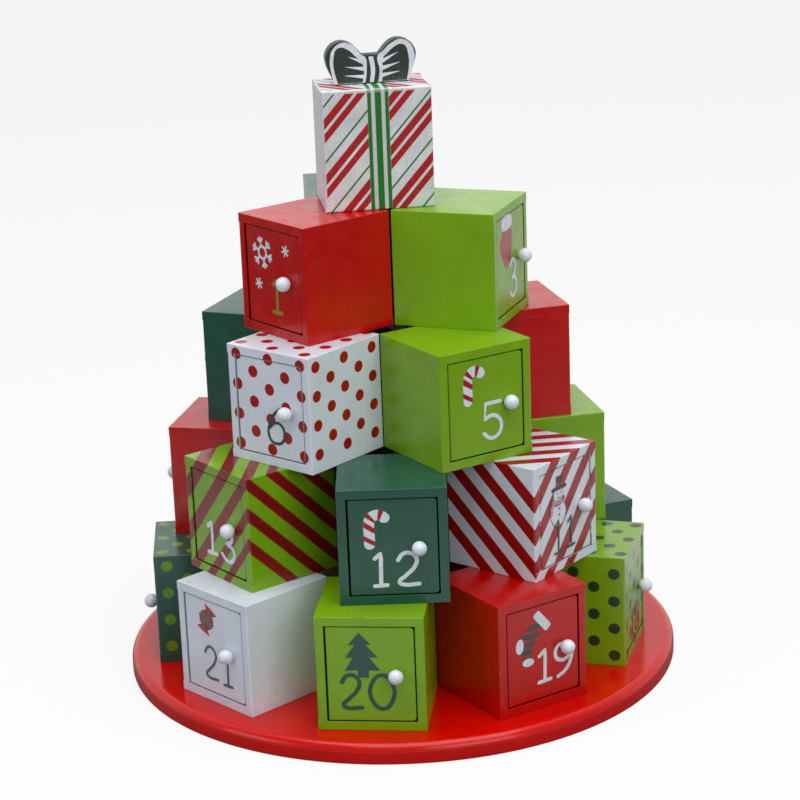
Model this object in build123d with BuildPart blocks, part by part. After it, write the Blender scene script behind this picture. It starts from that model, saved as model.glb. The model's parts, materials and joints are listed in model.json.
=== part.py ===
from build123d import *
import os
from math import cos, hypot, pi, radians, sin, sqrt, tan

os.makedirs("parts", exist_ok=True)

# Advent calendar: rings of small boxes with numbered doors, stacked as a tower on a
# round base, with a gift box and a flat bow on top. Millimetres, +Z up, origin at the
# centre of the base's underside, front of the tower towards -Y.

# Door boxes
box_width = 58.0
box_depth = 58.0
box_height = 64.0
board = 5.0             # top, bottom and side boards
back_board = 4.0
edge_softening = 0.8    # sanded outer edges
glue_line = 0.05        # between the glued pieces of one box or door

# Doors, inset in the box front and hinged on their left edge
door_thickness = 4.0
door_recess = 0.4       # door face behind the front edges of the boards
hinge_gap = 0.8         # around the half-round hinge edge
latch_gap = 0.7
door_gap = 0.6          # above and below the door
door_corner = 2.0       # rounding of the corners beside the knob

# Knobs, small turned balls glued to the doors
knob_radius = 4.0
knob_inset = 9.7        # knob centre from the door's free edge
knob_sides = 12
knob_latitudes = (14, 42, 72)   # belt, shoulder and crown of its flats, in degrees

# Hinge brads, square wire driven through the boards into the door's edge
brad = 1.2
brad_reach = 7.0        # length inside the door
brad_set = 0.3          # driven below the surface of the board
brad_tip_room = 0.5
nail_fit = 0.02         # around a brad in its board
running_clearance = 0.05

# Rings from the top down: box numbers from left to right as seen from the front,
# azimuth of the first box, how far the ring stands off the closed polygon, and how far
# its middle lies right of the base's, as the rings are stacked by hand
rings = (
    ((1, 3, 2), -51.4, 0.5, -3.2),
    ((7, 6, 5, 4, 8), -112.4, 0.3, -2.5),
    ((15, 14, 13, 12, 11, 10, 9), -155.0, 2.0, -2.5),
    ((24, 23, 22, 21, 20, 19, 18, 17, 16), -166.9, 0.6, -1.2),
)
nudges = {              # boxes glued a little out of their ring or to their right
    2: (0, 4.0),
    7: (1.5, 0),
    9: (-1.0, 0),
    10: (-2.5, 0),
    12: (0, 0.7),
    14: (1.7, 0),
    15: (-3.6, 0),
}

# Base
base_thickness = 11.5
base_margin = 15.3      # base edge beyond the outermost box corners
base_top_round = 5.0    # turned in a few flats
base_round_flats = 3
base_foot_bevel = 1.5

# Gift box on top, glued from six boards
gift_width = 59.3
gift_depth = 42.0
gift_height = 65.6
gift_board = 5.0
gift_softening = 1.2
gift_twist = 7.3
gift_middle = (-5.5, -11.1)     # from the base's middle

# Bow, a flat cut-out that stands on the gift box
bow_thickness = 7.5
bow_twist = 10.0
bow_foot = 38.8
bow_width = 49.0
bow_height = 23.3
lobe_radius = 9.0
lobe_turn = 130.0       # how far the lobe's arc runs, from its outer side
knot_width = 8.8
knot_height = 15.5


def turned_plane(middle, azimuth, reach, aside, height):
    """Level plane in front of a ring's middle: x to the right of the face, y inwards."""
    turn = radians(azimuth)
    origin = (
        middle + reach * sin(turn) + aside * cos(turn),
        -reach * cos(turn) + aside * sin(turn),
        height,
    )
    return Plane(origin=origin, x_dir=(cos(turn), sin(turn), 0), z_dir=(0, 0, 1))


# Where each box stands: a plane at the middle of its front bottom edge
places = {}
for tier, (numbers, first_azimuth, ring_gap, ring_middle) in enumerate(rings):
    count = len(numbers)
    ring_reach = box_width / (2 * tan(pi / count)) + ring_gap + box_depth
    floor = base_thickness + (len(rings) - 1 - tier) * box_height
    for index, number in enumerate(numbers):
        azimuth = first_azimuth + index * 360 / count
        outward, aside = nudges.get(number, (0, 0))
        places[number] = turned_plane(ring_middle, azimuth, ring_reach + outward, aside, floor)

tower_top = base_thickness + len(rings) * box_height
corner_reach = hypot(ring_reach, box_width / 2)

# Sizes that the door, its knob and its brads share
opening_width = box_width - 2 * board
opening_height = box_height - 2 * board
hinge_x = -opening_width / 2 + hinge_gap + door_thickness / 2
hinge_y = door_recess + door_thickness / 2
free_x = opening_width / 2 - latch_gap
door_bottom = board + door_gap
door_top = box_height - board - door_gap
inner_height = opening_height - 2 * glue_line
brad_length = board - brad_set + door_gap + brad_reach

# Boards of one door box
with BuildPart() as top_board:
    with Locations((0, box_depth / 2, box_height - board / 2)):
        Box(box_width, box_depth, board)
    upper_edges = top_board.faces().sort_by(Axis.Z)[-1].edges()
    chamfer(upper_edges + top_board.edges().filter_by(Axis.Z), edge_softening)
    with Locations((hinge_x, hinge_y, box_height - board / 2)):
        Box(brad + 2 * nail_fit, brad + 2 * nail_fit, board, mode=Mode.SUBTRACT)

with BuildPart() as bottom_board:
    mirror(top_board.part, about=Plane.XY.offset(box_height / 2))

with BuildPart() as left_board:
    with Locations(((board - box_width) / 2, box_depth / 2, box_height / 2)):
        Box(board, box_depth, inner_height)
    outer_edges = left_board.edges().filter_by(Axis.Z).sort_by(Axis.X)[:2]
    chamfer(outer_edges, edge_softening)

with BuildPart() as right_board:
    mirror(left_board.part, about=Plane.YZ)

with BuildPart() as rear_board:
    with Locations((0, box_depth - back_board / 2, box_height / 2)):
        Box(opening_width - 2 * glue_line, back_board, inner_height)

# Door panel with a half-round hinge edge and a blind hole for the brad at each end
with BuildPart() as door_panel:
    with BuildSketch(Plane.XY.offset(door_bottom)):
        with BuildLine():
            Polyline(
                (hinge_x, door_recess),
                (free_x, door_recess),
                (free_x, door_recess + door_thickness),
                (hinge_x, door_recess + door_thickness),
            )
            CenterArc((hinge_x, hinge_y), door_thickness / 2, 90, 180)
        make_face()
    extrude(amount=door_top - door_bottom)
    free_corners = door_panel.edges().filter_by(Axis.Y).sort_by(Axis.X)[-2:]
    fillet(free_corners, door_corner)
    hole_radius = brad * sqrt(2) / 2 + running_clearance
    for end, inwards in ((door_bottom, 1), (door_top, -1)):
        with BuildSketch(Plane.XY.offset(end)):
            with Locations((hinge_x, hinge_y)):
                RegularPolygon(hole_radius, 8, major_radius=False)
        extrude(amount=inwards * (brad_reach + brad_tip_room), mode=Mode.SUBTRACT)

# Ball knob: a prism square to the door, its seat and tip each bevelled twice
flats_radius = knob_radius * cos(pi / knob_sides)
belt, shoulder, crown = [
    (flats_radius * cos(radians(latitude)), knob_radius * sin(radians(latitude)))
    for latitude in knob_latitudes
]
first_rise = crown[1] - belt[1]
first_run = first_rise * (belt[0] - shoulder[0]) / (shoulder[1] - belt[1])
first_end = belt[0] - first_run
knob_bevels = (
    (first_run, first_rise),
    (first_end - crown[0], hypot(shoulder[0] - first_end, crown[1] - shoulder[1])),
)
knob_seat = Plane(
    origin=(free_x - knob_inset, door_recess - glue_line, box_height / 2),
    x_dir=(1, 0, 0),
    z_dir=(0, -1, 0),
)
with BuildPart() as knob:
    with BuildSketch(knob_seat):
        RegularPolygon(belt[0], knob_sides, major_radius=False)
    extrude(amount=2 * crown[1])
    for on_end, on_side in knob_bevels:
        for which in (0, -1):
            end_face = knob.faces().sort_by(Axis.Y)[which]
            chamfer(end_face.edges(), on_end, on_side, reference=end_face)

# One box and one door for each number
for number, place in places.items():
    with BuildPart(place) as box:
        add([top_board.part, bottom_board.part, left_board.part, right_board.part, rear_board.part])
    box.part.label = f"box_{number:02d}"
    export_step(box.part, f"parts/box_{number:02d}.step")

    with BuildPart(place) as door:
        add([door_panel.part, knob.part])
    door.part.label = f"door_{number:02d}"
    export_step(door.part, f"parts/door_{number:02d}.step")

# Two hinge brads for each door, one through the top board and one through the bottom
brad_middle = brad_set + brad_length / 2
with BuildPart(*places.values()) as hinge_brads:
    with Locations((hinge_x, hinge_y, brad_middle), (hinge_x, hinge_y, box_height - brad_middle)):
        Box(brad, brad, brad_length)
hinge_brads.part.label = "hinge_brads"
export_step(hinge_brads.part, "parts/hinge_brads.step")

# Base, a turned disc with a rounded rim
base_radius = corner_reach + base_margin
round_steps = [step * pi / 2 / base_round_flats for step in range(base_round_flats + 1)]
base_rim = [
    (
        base_radius - base_top_round * (1 - cos(angle)),
        base_thickness - base_top_round * (1 - sin(angle)),
    )
    for angle in round_steps
]
with BuildPart() as base:
    with BuildSketch(Plane.XZ):
        with BuildLine():
            Polyline(
                (0, base_thickness),
                (0, 0),
                (base_radius - base_foot_bevel, 0),
                (base_radius, base_foot_bevel),
                *base_rim,
                close=True,
            )
        make_face()
    revolve(axis=Axis.Z)
base.part.label = "base"
export_step(base.part, "parts/base.step")

# Gift box: front and back boards cover the ends of the other four
turn = radians(gift_twist)
gift_place = Plane(
    origin=(*gift_middle, tower_top),
    x_dir=(cos(turn), sin(turn), 0),
    z_dir=(0, 0, 1),
)
gift_inwards = Axis((0, 0, 0), gift_place.y_dir)
gift_ribs_depth = gift_depth - 2 * gift_board - 2 * glue_line
gift_side_height = gift_height - 2 * gift_board - 2 * glue_line

for name, side in (("gift_front", -1), ("gift_back", 1)):
    with BuildPart(gift_place) as face_board:
        with Locations((0, side * (gift_depth - gift_board) / 2, gift_height / 2)):
            Box(gift_width, gift_board, gift_height)
        outer_face = face_board.faces().sort_by(gift_inwards)[0 if side < 0 else -1]
        chamfer(outer_face.edges(), gift_softening)
    face_board.part.label = name
    export_step(face_board.part, f"parts/{name}.step")

for name, middle in (
    ("gift_bottom", gift_board / 2),
    ("gift_top", gift_height - gift_board / 2),
):
    with BuildPart(gift_place) as level_board:
        with Locations((0, 0, middle)):
            Box(gift_width, gift_ribs_depth, gift_board)
        outer_face = level_board.faces().sort_by(Axis.Z)[0 if middle < gift_height / 2 else -1]
        chamfer(outer_face.edges().filter_by(gift_inwards), gift_softening)
    level_board.part.label = name
    export_step(level_board.part, f"parts/{name}.step")

for name, side in (("gift_left", -1), ("gift_right", 1)):
    with BuildPart(gift_place) as side_board:
        with Locations((side * (gift_width - gift_board) / 2, 0, gift_height / 2)):
            Box(gift_board, gift_ribs_depth, gift_side_height)
    side_board.part.label = name
    export_step(side_board.part, f"parts/{name}.step")

# Bow, drawn as its right half and mirrored
bow_turn = radians(bow_twist)
bow_face = Plane(
    origin=(*gift_middle, tower_top + gift_height),
    x_dir=(cos(bow_turn), sin(bow_turn), 0),
    z_dir=(sin(bow_turn), -cos(bow_turn), 0),
)
lobe_middle = (bow_width / 2 - lobe_radius, bow_height - lobe_radius)
with BuildPart() as bow:
    with BuildSketch(bow_face):
        with BuildLine():
            Polyline((0, 0), (bow_foot / 2, 0), (bow_width / 2, lobe_middle[1]))
            lobe = CenterArc(lobe_middle, lobe_radius, 0, lobe_turn)
            Polyline(lobe @ 1, (knot_width / 2, knot_height), (0, knot_height))
            mirror(about=Plane.YZ)
        make_face()
    extrude(amount=bow_thickness / 2, both=True)
bow.part.label = "bow"
export_step(bow.part, "parts/bow.step")
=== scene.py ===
import json
import math

import bmesh
import bpy
from mathutils import Matrix, Vector


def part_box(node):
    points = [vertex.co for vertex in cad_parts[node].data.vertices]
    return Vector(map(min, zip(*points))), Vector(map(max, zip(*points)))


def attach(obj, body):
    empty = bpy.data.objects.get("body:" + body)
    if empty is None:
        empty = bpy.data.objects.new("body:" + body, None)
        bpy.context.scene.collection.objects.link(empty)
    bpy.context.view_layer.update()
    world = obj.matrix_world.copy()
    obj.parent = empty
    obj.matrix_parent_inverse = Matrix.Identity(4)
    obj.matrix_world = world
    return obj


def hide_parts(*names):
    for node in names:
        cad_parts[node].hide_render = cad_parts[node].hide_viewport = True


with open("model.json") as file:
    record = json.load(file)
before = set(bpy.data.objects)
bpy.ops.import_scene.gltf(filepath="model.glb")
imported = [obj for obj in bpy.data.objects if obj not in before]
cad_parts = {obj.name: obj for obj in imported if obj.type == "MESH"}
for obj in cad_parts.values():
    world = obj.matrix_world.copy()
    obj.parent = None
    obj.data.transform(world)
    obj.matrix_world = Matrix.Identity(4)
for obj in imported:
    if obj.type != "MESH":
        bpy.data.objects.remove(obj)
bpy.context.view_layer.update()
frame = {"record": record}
mm = 0.001  # pieces are drawn in millimetres in their own place, then put in the tower in metres
slotOf = {row["node"]: row["material_slot"] for row in frame["record"]["subparts"]}
numbers = range(1, 25)


def srgb(red, green, blue):
    values = [c / 255 for c in (red, green, blue)]
    return (*[c / 12.92 if c <= 0.04045 else ((c + 0.055) / 1.055) ** 2.4 for c in values], 1.0)


def toned(colour, factor):
    return (*[min(1.0, c * factor) for c in colour[:3]], 1.0)


# Camera, as the photograph was taken
photoCamera = dict(
    place=(-0.002, -1.3, 0.5557), yaw=0.25, pitch=17.32, roll=2.2,  # turns in degrees
    focalPixels=2414.6, framePixels=800, sensor=36.0, clip=(0.05, 20),
)


def aimCamera():
    data = bpy.data.cameras.new("photoCamera")
    data.sensor_width = photoCamera["sensor"]
    data.lens = photoCamera["focalPixels"] / photoCamera["framePixels"] * photoCamera["sensor"]
    data.clip_start, data.clip_end = photoCamera["clip"]
    camera = bpy.data.objects.new("photoCamera", data)
    bpy.context.scene.collection.objects.link(camera)
    yaw, pitch, roll = [math.radians(photoCamera[k]) for k in ("yaw", "pitch", "roll")]
    camera.matrix_world = (
        Matrix.Translation(photoCamera["place"])
        @ Matrix.Rotation(-yaw, 4, "Z")
        @ Matrix.Rotation(math.pi / 2 - pitch, 4, "X")
        @ Matrix.Rotation(-roll, 4, "Z")
    )
    bpy.context.scene.camera = camera


# Shader helpers
def addNode(tree, kind, inputs=None, **settings):
    node = tree.nodes.new(kind)
    for key, value in settings.items():
        setattr(node, key, value)
    for key, value in (inputs or {}).items():
        if isinstance(value, bpy.types.NodeSocket):
            tree.links.new(value, node.inputs[key])
        else:
            node.inputs[key].default_value = value
    return node


def startMaterial(name):
    material = bpy.data.materials.new(name)
    material.use_nodes = True
    tree = material.node_tree
    return material, tree, tree.nodes["Principled BSDF"]


def math2(tree, operation, a, b=0.0):
    return addNode(tree, "ShaderNodeMath", {0: a, 1: b}, operation=operation).outputs[0]


def times(tree, product, *factors):
    for factor in factors:
        product = math2(tree, "MULTIPLY", product, factor)
    return product


def axes(tree, vector):  # its X, Y and Z
    return addNode(tree, "ShaderNodeSeparateXYZ", {0: vector}).outputs


def wrapped(tree, value, period):  # distance from the middle of the nearest band
    node = addNode(tree, "ShaderNodeMath", {0: value, 1: period / 2, 2: -period / 2}, operation="WRAP")
    return math2(tree, "ABSOLUTE", node.outputs[0])


def vector2(tree, operation, a, b=(0, 0, 0)):
    node = addNode(tree, "ShaderNodeVectorMath", {0: a, 1: b}, operation=operation)
    return node.outputs["Value" if operation in ("LENGTH", "DOT_PRODUCT") else "Vector"]


def noise(tree, coords, scale, detail=3.0, rough=0.5):
    inputs = {"Vector": coords, "Scale": scale, "Detail": detail, "Roughness": rough}
    return addNode(tree, "ShaderNodeTexNoise", inputs).outputs["Fac"]


def ramp(tree, value, low, high, toLow=0.0, toHigh=1.0):
    inputs = {"Value": value, "From Min": low, "From Max": high, "To Min": toLow, "To Max": toHigh}
    return addNode(tree, "ShaderNodeMapRange", inputs).outputs["Result"]


def clouds(tree, coords, scale, detail, low=0.0, high=1.0):  # soft patches between two values
    return ramp(tree, noise(tree, coords, scale, detail), 0.3, 0.7, low, high)


def band(tree, distance, half, soft=0.14):  # 1 inside a printed band or dot, with a soft edge
    return ramp(tree, distance, half + soft, half - soft)


def mixColour(tree, factor, a, b):
    node = addNode(tree, "ShaderNodeMix", data_type="RGBA")
    for index, value in ((0, factor), (6, a), (7, b)):
        if isinstance(value, bpy.types.NodeSocket):
            tree.links.new(value, node.inputs[index])
        else:
            node.inputs[index].default_value = value
    return node.outputs[2]


def objectCoords(tree):
    return addNode(tree, "ShaderNodeTexCoord").outputs["Object"]


def stretched(tree, coords, scale):
    return addNode(tree, "ShaderNodeMapping", {"Vector": coords, "Scale": scale}).outputs[0]


def attribute(tree, name, output="Fac"):
    return addNode(tree, "ShaderNodeAttribute", attribute_name=name).outputs[output]


def printedCoords(tree):
    return addNode(tree, "ShaderNodeUVMap", uv_map="printed").outputs["UV"]


def addBump(tree, shader, height, strength, distance):
    inputs = {"Height": height, "Strength": strength, "Distance": distance * mm}
    bump = addNode(tree, "ShaderNodeBump", inputs)
    tree.links.new(bump.outputs[0], shader.inputs["Normal"])


def plainFinish(name, tones, drift, sheen, bump=None, spread=(0.3, 0.7), shine=0.5, metal=0.0):
    material, tree, shader = startMaterial(name)
    coords = objectCoords(tree)
    tone = ramp(tree, noise(tree, coords, *drift), *spread)
    tree.links.new(mixColour(tree, tone, *tones), shader.inputs["Base Color"])
    tree.links.new(clouds(tree, coords, *sheen), shader.inputs["Roughness"])
    shader.inputs["Specular IOR Level"].default_value = shine
    shader.inputs["Metallic"].default_value = metal
    if bump:
        scale, detail, strength, distance = bump
        addBump(tree, shader, noise(tree, coords, scale, detail), strength, distance)
    return material


# Studio: a white sweep behind, a big soft box above, one at the front right and a weak one at the left
studio = dict(
    ambient=0.33,
    floorSize=6.0,
    floorColour=srgb(240, 240, 240),
    floorBounce=srgb(118, 118, 118),
    floorWhite=0.84,
    floorRough=0.9,
    paperStart=(0.16, 0.25), paperEnd=(0.6, 0.42),  # white paper in a ring around the tower, seen in gloss; inside the ring the floor is painted grey, a painted shadow of the tower in reflections
    farFloor=srgb(44, 44, 44), farStart=(0.55, 0.75),  # the floor beyond the paper is painted dark for gloss only, a painted dark reflection
    sweepRise=(-0.15, 0.3),  # gloss mirrors a white world only behind the tower
    sweepReach=(0.3, 0.6), sweepAside=(1.6, -0.15, 0.02),  # the white sweep rises behind and at the right
    boxes=(
        dict(name="topSoftBox", place=(0.1, -0.3, 1.8), size=1.6, power=24.0, tint=(1, 1, 1)),
        dict(name="frontSoftBox", place=(1.0, -1.9, 1.1), size=1.4, power=14.0, tint=(1, 1, 1)),
        dict(name="leftSoftBox", place=(-1.8, -0.9, 0.7), size=1.0, power=6.4, tint=(0.82, 0.91, 1)),
    ),
    aim=(0.0, 0.0, 0.16),
)


def seenDirectly(tree, mirrored=1.0):  # 1 for what the camera sees, also in a reflection or through glass
    path = addNode(tree, "ShaderNodeLightPath")
    glossy = times(tree, path.outputs["Is Glossy Ray"], mirrored)
    seen = math2(tree, "MAXIMUM", path.outputs["Is Camera Ray"], glossy)
    return math2(tree, "MAXIMUM", seen, path.outputs["Is Transmission Ray"])


def lightStudio():
    world = bpy.data.worlds.new("studioWorld")
    world.use_nodes = True
    bpy.context.scene.world = world
    tree = world.node_tree
    background = tree.nodes["Background"]
    background.inputs["Color"].default_value = (1, 1, 1, 1)
    direction = addNode(tree, "ShaderNodeTexCoord").outputs["Generated"]
    sweep = ramp(tree, axes(tree, direction)["Y"], *studio["sweepRise"])
    strength = ramp(tree, seenDirectly(tree, sweep), 0, 1, studio["ambient"], 1.0)
    tree.links.new(strength, background.inputs["Strength"])
    for box in studio["boxes"]:
        data = bpy.data.lights.new(box["name"], "AREA")
        data.shape, data.size, data.energy, data.color = "SQUARE", box["size"], box["power"], box["tint"]
        lamp = bpy.data.objects.new(box["name"], data)
        bpy.context.scene.collection.objects.link(lamp)
        lamp.location = box["place"]
        away = Vector(studio["aim"]) - Vector(box["place"])
        lamp.rotation_euler = away.to_track_quat("-Z", "Y").to_euler()
    bpy.context.scene.view_settings.view_transform = "Standard"


def makeFloor():
    bm = bmesh.new()
    bmesh.ops.create_grid(bm, x_segments=1, y_segments=1, size=studio["floorSize"] / 2)
    mesh = bpy.data.meshes.new("studioFloor")
    bm.to_mesh(mesh)
    bm.free()
    material, tree, shader = startMaterial("floorPaper")
    coords = objectCoords(tree)
    across, depth = axes(tree, coords)[:2]
    distance = vector2(tree, "LENGTH", coords)
    # glossy rays see the floor grey near the tower and white only in the paper ring: a painted shadow of the
    # tower in reflections
    paper = ramp(tree, distance, *studio["paperStart"])
    lean, asideStart, asideEnd = studio["sweepAside"]
    aside = times(tree, math2(tree, "MAXIMUM", across, 0.0), lean, ramp(tree, depth, asideStart, asideEnd))
    sweep = times(tree, ramp(tree, math2(tree, "ADD", depth, aside), *studio["sweepReach"]), paper)
    paper = times(tree, paper, ramp(tree, distance, *studio["paperEnd"]))
    pale = seenDirectly(tree, math2(tree, "MAXIMUM", paper, sweep))  # gloss mirrors the paper and the sweep
    seen = seenDirectly(tree, sweep)
    shade = mixColour(tree, pale, studio["floorBounce"], studio["floorColour"])
    # farther out the floor is painted dark for glossy rays only: a painted dark reflection
    mirrored = addNode(tree, "ShaderNodeLightPath").outputs["Is Glossy Ray"]
    far = times(tree, ramp(tree, distance, *studio["farStart"]), mirrored)
    shade = mixColour(tree, far, shade, studio["farFloor"])
    tree.links.new(shade, shader.inputs["Base Color"])
    shader.inputs["Roughness"].default_value = studio["floorRough"]
    white = addNode(tree, "ShaderNodeEmission", {"Strength": 1.0})
    factor = ramp(tree, seen, 0, 1, 0.0, studio["floorWhite"])
    mixed = addNode(tree, "ShaderNodeMixShader", {0: factor, 1: shader.outputs[0], 2: white.outputs[0]})
    tree.links.new(mixed.outputs[0], tree.nodes["Material Output"].inputs["Surface"])
    mesh.materials.append(material)
    floor = bpy.data.objects.new("studioFloor", mesh)
    bpy.context.scene.collection.objects.link(floor)


# Paints: colours and the printed dots and stripes, sizes in millimetres
paint = dict(
    red=srgb(191, 7, 2),
    lime=srgb(123, 170, 14),
    darkGreen=srgb(31, 83, 66),
    white=srgb(222, 229, 241),
    baseRed=srgb(207, 8, 2),
    dotRed=srgb(164, 8, 10),
    stripeRed=srgb(156, 9, 12),
    darkRed=srgb(128, 9, 12),
    limeDot=srgb(99, 146, 18),
    greenDot=srgb(24, 62, 34),
    undercoat=srgb(214, 208, 198),
    plug=srgb(112, 108, 100),
    bareWood=srgb(200, 168, 124),
    woodGrain=srgb(172, 136, 94),
)
dotGrid = dict(column=11.4, row=16.7, radius=3.3)
finishes = dict(  # dots: first dot and bare margin; stripes: slope, period, width, middle, ends, fan
    red_paint=dict(colour="red"),
    lime_paint=dict(colour="lime"),
    dark_green_paint=dict(colour="darkGreen"),
    # white paints take a lighter painted shade in the gap around the door
    white_paint=dict(colour="white", gapShadeTone=0.5),
    white_with_red_dots=dict(colour="white", ink="dotRed", dots=(0.3, 9.2, 4.5), gapShadeTone=0.6),
    dark_green_with_lime_dots=dict(colour="darkGreen", ink="limeDot", dots=(-1.0, 9.0, 2.5)),
    lime_with_green_dots=dict(colour="lime", ink="greenDot", dots=(-0.1, 5.2, 2.5)),
    white_with_red_stripes=dict(
        colour="white", ink="stripeRed", gapShadeTone=0.6, stripes=(1.0, 18.4, 9.3, -1.0, -10, 86)
    ),
    lime_with_red_stripes=dict(
        colour="lime", ink="darkRed", stripes=(1.15, 17.9, 8.6, 11.2, -15, 200, 120)
    ),
)
printFit = dict(  # how the print of a box's top and sides is set against its front
    white_with_red_dots=dict(top=(-1.5, -1.3), sideRise=1.04),
    lime_with_green_dots=dict(top=(0.7, 5.1), sideRise=1.04),
    dark_green_with_lime_dots=dict(sideRise=1.04),
    white_with_red_stripes=dict(sideScale=0.93),
    lime_with_red_stripes=dict(sideScale=0.85, topScale=1.18),
)
panelFit = dict(white_with_red_stripes=(1.04, 0.92))  # a door's own print, wider and lower than its frame's


def dotMask(tree, uv, startU, startV, margin):
    cell = Vector((2 * dotGrid["column"], dotGrid["row"], 1))
    lattice = vector2(tree, "SUBTRACT", uv, attribute(tree, "printShift", "Vector"))
    spots = []
    for offset in (Vector((0, 0, 0)), Vector((cell.x / 2, cell.y / 2, 0))):
        moved = vector2(tree, "SUBTRACT", lattice, Vector((startU, startV, 0)) + offset)
        near = addNode(tree, "ShaderNodeVectorMath", {0: moved, 1: cell / 2, 2: -cell / 2}, operation="WRAP")
        flat = vector2(tree, "MULTIPLY", near.outputs["Vector"], (1, 1, 0))
        centre = axes(tree, vector2(tree, "SUBTRACT", uv, flat))
        across = math2(tree, "ABSOLUTE", centre["X"])
        upDown = math2(tree, "ABSOLUTE", math2(tree, "SUBTRACT", centre["Y"], doorBox["height"] / 2))
        disc = band(tree, vector2(tree, "LENGTH", flat), dotGrid["radius"])
        for distance, reach in ((across, doorBox["width"] / 2), (upDown, doorBox["height"] / 2)):
            disc = times(tree, disc, math2(tree, "LESS_THAN", distance, reach - margin))
        spots.append(disc)  # only whole dots are printed, none over an edge
    return math2(tree, "MAXIMUM", *spots)


def stripeMask(tree, uv, slope, period, width, middle, low, high, fan=None, sideThinner=1.06):
    along = vector2(tree, "DOT_PRODUCT", uv, (-slope, 1, 0))
    offset = math2(tree, "SUBTRACT", along, middle)
    if fan:  # a hand-cut print that spreads upwards on the front and is even and thinner at the sides
        spread = math2(tree, "DIVIDE", math2(tree, "ADD", along, fan), middle + fan)
        curved = times(tree, math2(tree, "LOGARITHM", spread, math.e), middle + fan)
        onSide = attribute(tree, "onSide")
        distance = wrapped(tree, ramp(tree, onSide, 0, 1, curved, offset), period)
        distance = times(tree, distance, ramp(tree, onSide, 0, 1, 1.0, sideThinner))
    else:
        distance = wrapped(tree, offset, period)
    started, ended = math2(tree, "GREATER_THAN", along, low), math2(tree, "LESS_THAN", along, high)
    return times(tree, band(tree, distance, width / 2), started, ended)


brushwork = dict(  # scale and detail of each effect, where it starts and how far it goes
    drift=(38, 4), paintTones=(0.93, 1.05), inkTones=(0.9, 1.08),
    rubbed=(210, 4), rubbedFrom=(0.64, 0.76), rubbedShare=0.3,
    speckle=(900, 3), speckleFrom=(0.4, 0.6), plugShare=0.45,
    ragged=(300, 3), paintStops=(7.4, 8.6),
    grain=(120, 6, 0.62), grainFrom=(0.35, 0.68), grainStretch=(1, 1, 9),
    sheen=(90, 3), glossSpread=(-0.05, 0.07), woodRough=0.75,
    peel=(1300, 2), strokes=(240, 3), strokeStretch=(1, 1, 12), strokeShare=0.6, bump=(0.1, 0.1),
)


def paintedWood(name, colour, ink=None, dots=None, stripes=None, gloss=0.25, shine=0.5, gapShadeTone=0.25):
    material, tree, shader = startMaterial(name)
    colour, ink = paint[colour], paint.get(ink)
    coords, work = objectCoords(tree), brushwork
    drift = clouds(tree, coords, *work["drift"])
    shade = mixColour(tree, drift, *[toned(colour, tone) for tone in work["paintTones"]])
    if ink:
        uv = printedCoords(tree)
        mask = dotMask(tree, uv, *dots) if dots else stripeMask(tree, uv, *stripes)
        printed = mixColour(tree, drift, *[toned(ink, tone) for tone in work["inkTones"]])
        shade = mixColour(tree, mask, shade, printed)
    # corners rubbed a little in handling show a paler undercoat
    rubbed = ramp(tree, noise(tree, coords, *work["rubbed"]), *work["rubbedFrom"])
    rubbed = times(tree, attribute(tree, "edgeWear"), rubbed, work["rubbedShare"])
    shade = mixColour(tree, rubbed, shade, mixColour(tree, 0.5, colour, paint["undercoat"]))
    # faces in the gap around the door are painted darker, a painted shade where little light gets in
    shade = mixColour(tree, attribute(tree, "gapShade"), shade, toned(colour, gapShadeTone))
    speckle = ramp(tree, noise(tree, coords, *work["speckle"]), *work["speckleFrom"])
    plugged = times(tree, attribute(tree, "plugged"), speckle, work["plugShare"])
    shade = mixColour(tree, plugged, shade, paint["plug"])
    # the paint stops a little way into the compartment, the rest is bare wood
    ragged = math2(tree, "ADD", attribute(tree, "insideDepth"), noise(tree, coords, *work["ragged"]))
    bare = ramp(tree, ragged, *work["paintStops"])
    grain = noise(tree, stretched(tree, coords, work["grainStretch"]), *work["grain"])
    wood = mixColour(tree, ramp(tree, grain, *work["grainFrom"]), paint["woodGrain"], paint["bareWood"])
    tree.links.new(mixColour(tree, bare, shade, wood), shader.inputs["Base Color"])
    sheen = clouds(tree, coords, *work["sheen"], *[gloss + spread for spread in work["glossSpread"]])
    tree.links.new(ramp(tree, bare, 0, 1, sheen, work["woodRough"]), shader.inputs["Roughness"])
    shader.inputs["Specular IOR Level"].default_value = shine
    peel = noise(tree, coords, *work["peel"])
    strokes = noise(tree, stretched(tree, coords, work["strokeStretch"]), *work["strokes"])
    height = math2(tree, "ADD", peel, times(tree, strokes, work["strokeShare"]))
    addBump(tree, shader, height, *work["bump"])
    return material


# Mesh helpers
def bevelEdges(bm, edges, width, segments):
    bmesh.ops.bevel(bm, geom=edges, offset=width, offset_type="OFFSET", segments=segments,
                    profile=0.5, affect="EDGES", material=-1, clamp_overlap=True)


def edgesWhere(bm, test):
    return [edge for edge in bm.edges if test((edge.verts[0].co + edge.verts[1].co) / 2)]


def sharpEdges(bm):
    return [edge for edge in bm.edges if edge.calc_face_angle(0) > math.radians(50)]


def boxShape(low, high):
    bm = bmesh.new()
    low, high = Vector(low), Vector(high)
    place = Matrix.Translation((low + high) / 2) @ Matrix.Diagonal((*(high - low), 1))
    bmesh.ops.create_cube(bm, size=1, matrix=place)
    return bm


def boardShape(low, high, joint, soft=0, isRounded=None):  # sanded round outside, glued edges almost sharp
    bm = boxShape(low, high)
    if isRounded:
        bevelEdges(bm, edgesWhere(bm, isRounded), soft, 3)
    bevelEdges(bm, sharpEdges(bm), joint, 1)
    return bm


def joined(shapes):
    whole = bmesh.new()
    for shape in shapes:
        mesh = bpy.data.meshes.new("part")
        shape.to_mesh(mesh)
        shape.free()
        whole.from_mesh(mesh)
        bpy.data.meshes.remove(mesh)
    return whole


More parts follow.
